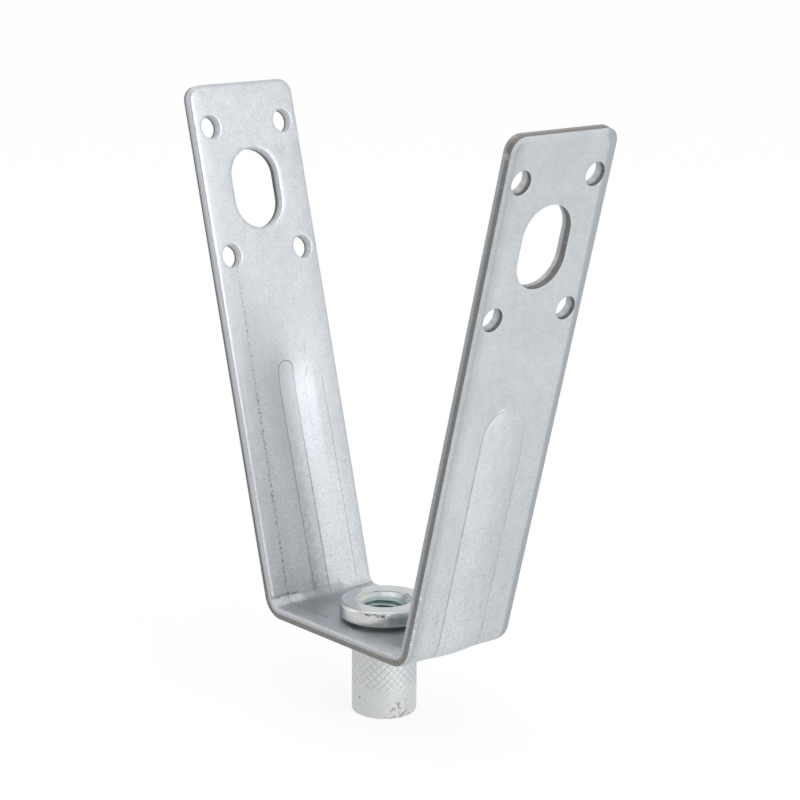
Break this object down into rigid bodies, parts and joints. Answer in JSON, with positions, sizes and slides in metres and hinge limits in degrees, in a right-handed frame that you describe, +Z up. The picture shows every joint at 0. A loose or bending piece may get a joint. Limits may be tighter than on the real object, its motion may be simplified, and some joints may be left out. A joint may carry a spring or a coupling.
{
  "type": "roofing sheet hanger",
  "caption": "V-shaped folded steel strip with screw holes and a slot in each leg, and a turning threaded sleeve in its base for a hanging rod.",
  "frame": {"origin": "on the axis of the sleeve's thread, in the plane of the underside of the strip's flat middle", "axes": "+Z up along the thread's axis, towards the open end between the legs; +X from leg to leg; +Y across the strip"},
  "size_m": [0.1136, 0.03, 0.1413],
  "materials": {
    "galvanised_strip": "satin, pre-galvanised",
    "zinc_plated_sleeve": "bright zinc plated, turned and knurled"
  },
  "bodies": {
    "bracket": {"v_bracket": "galvanised_strip"},
    "sleeve": {"threaded_sleeve": "zinc_plated_sleeve"}
  },
  "joints": [
    {"name": "sleeve_turn", "type": "hinge", "parent": "bracket", "child": "sleeve", "pos_m": [0, 0, 0], "axis": [0, 0, 1], "continuous": true}
  ]
}
